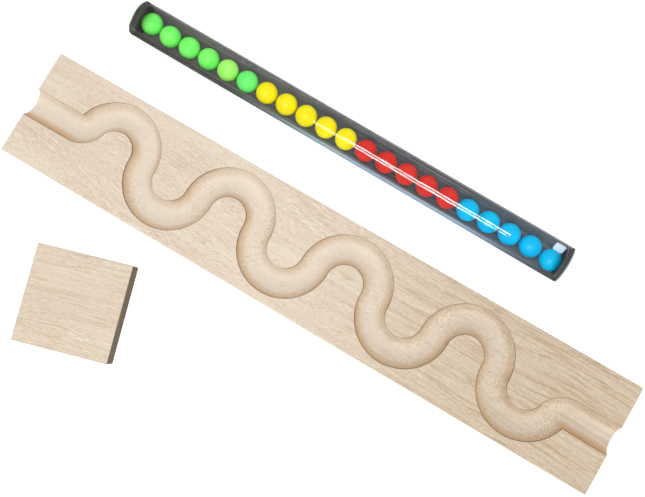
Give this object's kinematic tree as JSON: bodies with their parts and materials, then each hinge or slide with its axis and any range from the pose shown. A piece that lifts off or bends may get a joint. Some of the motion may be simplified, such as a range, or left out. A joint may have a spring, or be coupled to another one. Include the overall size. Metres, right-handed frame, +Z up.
{
  "type": "marble run",
  "caption": "Wooden marble run set: a plank with a serpentine ball groove, a square block to prop it up, and a clear storage tube filled with coloured balls.",
  "frame": {"origin": "middle of the plank's underside, on the surface that everything rests on", "axes": "+X along the plank, from the end nearest the block to the other end; +Y across the plank towards the tube; +Z up"},
  "size_m": [0.6, 0.3273, 0.034],
  "materials": {
    "beech": "sanded, unvarnished",
    "clear_tube": "clear, glossy",
    "clear_plug": "clear, glossy",
    "green_lacquer": "gloss lacquer",
    "yellow_lacquer": "gloss lacquer",
    "red_lacquer": "gloss lacquer",
    "blue_lacquer": "gloss lacquer"
  },
  "bodies": {
    "plank": {"track_plank": "beech"},
    "block": {"support_block": "beech"},
    "tube": {"ball_tube": "clear_tube"},
    "plug_left": {"end_plug_left": "clear_plug"},
    "plug_right": {"end_plug_right": "clear_plug"},
    "ball_green_1": {"ball_green_1": "green_lacquer"},
    "ball_green_2": {"ball_green_2": "green_lacquer"},
    "ball_green_3": {"ball_green_3": "green_lacquer"},
    "ball_green_4": {"ball_green_4": "green_lacquer"},
    "ball_green_5": {"ball_green_5": "green_lacquer"},
    "ball_green_6": {"ball_green_6": "green_lacquer"},
    "ball_yellow_1": {"ball_yellow_1": "yellow_lacquer"},
    "ball_yellow_2": {"ball_yellow_2": "yellow_lacquer"},
    "ball_yellow_3": {"ball_yellow_3": "yellow_lacquer"},
    "ball_yellow_4": {"ball_yellow_4": "yellow_lacquer"},
    "ball_yellow_5": {"ball_yellow_5": "yellow_lacquer"},
    "ball_red_1": {"ball_red_1": "red_lacquer"},
    "ball_red_2": {"ball_red_2": "red_lacquer"},
    "ball_red_3": {"ball_red_3": "red_lacquer"},
    "ball_red_4": {"ball_red_4": "red_lacquer"},
    "ball_red_5": {"ball_red_5": "red_lacquer"},
    "ball_blue_1": {"ball_blue_1": "blue_lacquer"},
    "ball_blue_2": {"ball_blue_2": "blue_lacquer"},
    "ball_blue_3": {"ball_blue_3": "blue_lacquer"},
    "ball_blue_4": {"ball_blue_4": "blue_lacquer"},
    "ball_blue_5": {"ball_blue_5": "blue_lacquer"}
  },
  "joints": [
    {"name": "block_lift", "type": "slide", "parent": "plank", "child": "block", "axis": [0, 0, 1], "range_m": [0, 0.04]},
    {"name": "tube_lift", "type": "slide", "parent": "plank", "child": "tube", "axis": [0, 0, 1], "range_m": [0, 0.06]},
    {"name": "plug_left_pull", "type": "slide", "parent": "tube", "child": "plug_left", "axis": [-0.9999, 0.0134, 0], "range_m": [0, 0.03]},
    {"name": "plug_right_pull", "type": "slide", "parent": "tube", "child": "plug_right", "axis": [0.9999, -0.0134, 0], "range_m": [0, 0.03]},
    {"name": "ball_green_1_roll", "type": "slide", "parent": "tube", "child": "ball_green_1", "axis": [0.9999, -0.0134, 0], "range_m": [0, 0.0168]},
    {"name": "ball_green_2_roll", "type": "slide", "parent": "tube", "child": "ball_green_2", "axis": [0.9999, -0.0134, 0], "range_m": [0, 0.0161]},
    {"name": "ball_green_3_roll", "type": "slide", "parent": "tube", "child": "ball_green_3", "axis": [0.9999, -0.0134, 0], "range_m": [0, 0.0153]},
    {"name": "ball_green_4_roll", "type": "slide", "parent": "tube", "child": "ball_green_4", "axis": [0.9999, -0.0134, 0], "range_m": [0, 0.0145]},
    {"name": "ball_green_5_roll", "type": "slide", "parent": "tube", "child": "ball_green_5", "axis": [0.9999, -0.0134, 0], "range_m": [0, 0.0137]},
    {"name": "ball_green_6_roll", "type": "slide", "parent": "tube", "child": "ball_green_6", "axis": [0.9999, -0.0134, 0], "range_m": [0, 0.0129]},
    {"name": "ball_yellow_1_roll", "type": "slide", "parent": "tube", "child": "ball_yellow_1", "axis": [0.9999, -0.0134, 0], "range_m": [0, 0.0121]},
    {"name": "ball_yellow_2_roll", "type": "slide", "parent": "tube", "child": "ball_yellow_2", "axis": [0.9999, -0.0134, 0], "range_m": [0, 0.0113]},
    {"name": "ball_yellow_3_roll", "type": "slide", "parent": "tube", "child": "ball_yellow_3", "axis": [0.9999, -0.0134, 0], "range_m": [0, 0.0105]},
    {"name": "ball_yellow_4_roll", "type": "slide", "parent": "tube", "child": "ball_yellow_4", "axis": [0.9999, -0.0134, 0], "range_m": [0, 0.0097]},
    {"name": "ball_yellow_5_roll", "type": "slide", "parent": "tube", "child": "ball_yellow_5", "axis": [0.9999, -0.0134, 0], "range_m": [0, 0.0089]},
    {"name": "ball_red_1_roll", "type": "slide", "parent": "tube", "child": "ball_red_1", "axis": [0.9999, -0.0134, 0], "range_m": [0, 0.0081]},
    {"name": "ball_red_2_roll", "type": "slide", "parent": "tube", "child": "ball_red_2", "axis": [0.9999, -0.0134, 0], "range_m": [0, 0.0073]},
    {"name": "ball_red_3_roll", "type": "slide", "parent": "tube", "child": "ball_red_3", "axis": [0.9999, -0.0134, 0], "range_m": [0, 0.0065]},
    {"name": "ball_red_4_roll", "type": "slide", "parent": "tube", "child": "ball_red_4", "axis": [0.9999, -0.0134, 0], "range_m": [0, 0.0057]},
    {"name": "ball_red_5_roll", "type": "slide", "parent": "tube", "child": "ball_red_5", "axis": [0.9999, -0.0134, 0], "range_m": [0, 0.0049]},
    {"name": "ball_blue_1_roll", "type": "slide", "parent": "tube", "child": "ball_blue_1", "axis": [0.9999, -0.0134, 0], "range_m": [0, 0.0041]},
    {"name": "ball_blue_2_roll", "type": "slide", "parent": "tube", "child": "ball_blue_2", "axis": [0.9999, -0.0134, 0], "range_m": [0, 0.0033]},
    {"name": "ball_blue_3_roll", "type": "slide", "parent": "tube", "child": "ball_blue_3", "axis": [0.9999, -0.0134, 0], "range_m": [0, 0.0025]},
    {"name": "ball_blue_4_roll", "type": "slide", "parent": "tube", "child": "ball_blue_4", "axis": [0.9999, -0.0134, 0], "range_m": [0, 0.0017]},
    {"name": "ball_blue_5_roll", "type": "slide", "parent": "tube", "child": "ball_blue_5", "axis": [0.9999, -0.0134, 0], "range_m": [0, 0.0009]}
  ],
  "couplings": [
    {"joint": "ball_green_2_roll", "follows": "ball_green_1_roll", "ratio": 0.95238},
    {"joint": "ball_green_3_roll", "follows": "ball_green_1_roll", "ratio": 0.90476},
    {"joint": "ball_green_4_roll", "follows": "ball_green_1_roll", "ratio": 0.85714},
    {"joint": "ball_green_5_roll", "follows": "ball_green_1_roll", "ratio": 0.80952},
    {"joint": "ball_green_6_roll", "follows": "ball_green_1_roll", "ratio": 0.7619},
    {"joint": "ball_yellow_1_roll", "follows": "ball_green_1_roll", "ratio": 0.71429},
    {"joint": "ball_yellow_2_roll", "follows": "ball_green_1_roll", "ratio": 0.66667},
    {"joint": "ball_yellow_3_roll", "follows": "ball_green_1_roll", "ratio": 0.61905},
    {"joint": "ball_yellow_4_roll", "follows": "ball_green_1_roll", "ratio": 0.57143},
    {"joint": "ball_yellow_5_roll", "follows": "ball_green_1_roll", "ratio": 0.52381},
    {"joint": "ball_red_1_roll", "follows": "ball_green_1_roll", "ratio": 0.47619},
    {"joint": "ball_red_2_roll", "follows": "ball_green_1_roll", "ratio": 0.42857},
    {"joint": "ball_red_3_roll", "follows": "ball_green_1_roll", "ratio": 0.38095},
    {"joint": "ball_red_4_roll", "follows": "ball_green_1_roll", "ratio": 0.33333},
    {"joint": "ball_red_5_roll", "follows": "ball_green_1_roll", "ratio": 0.28571},
    {"joint": "ball_blue_1_roll", "follows": "ball_green_1_roll", "ratio": 0.2381},
    {"joint": "ball_blue_2_roll", "follows": "ball_green_1_roll", "ratio": 0.19048},
    {"joint": "ball_blue_3_roll", "follows": "ball_green_1_roll", "ratio": 0.14286},
    {"joint": "ball_blue_4_roll", "follows": "ball_green_1_roll", "ratio": 0.095238},
    {"joint": "ball_blue_5_roll", "follows": "ball_green_1_roll", "ratio": 0.047619}
  ]
}
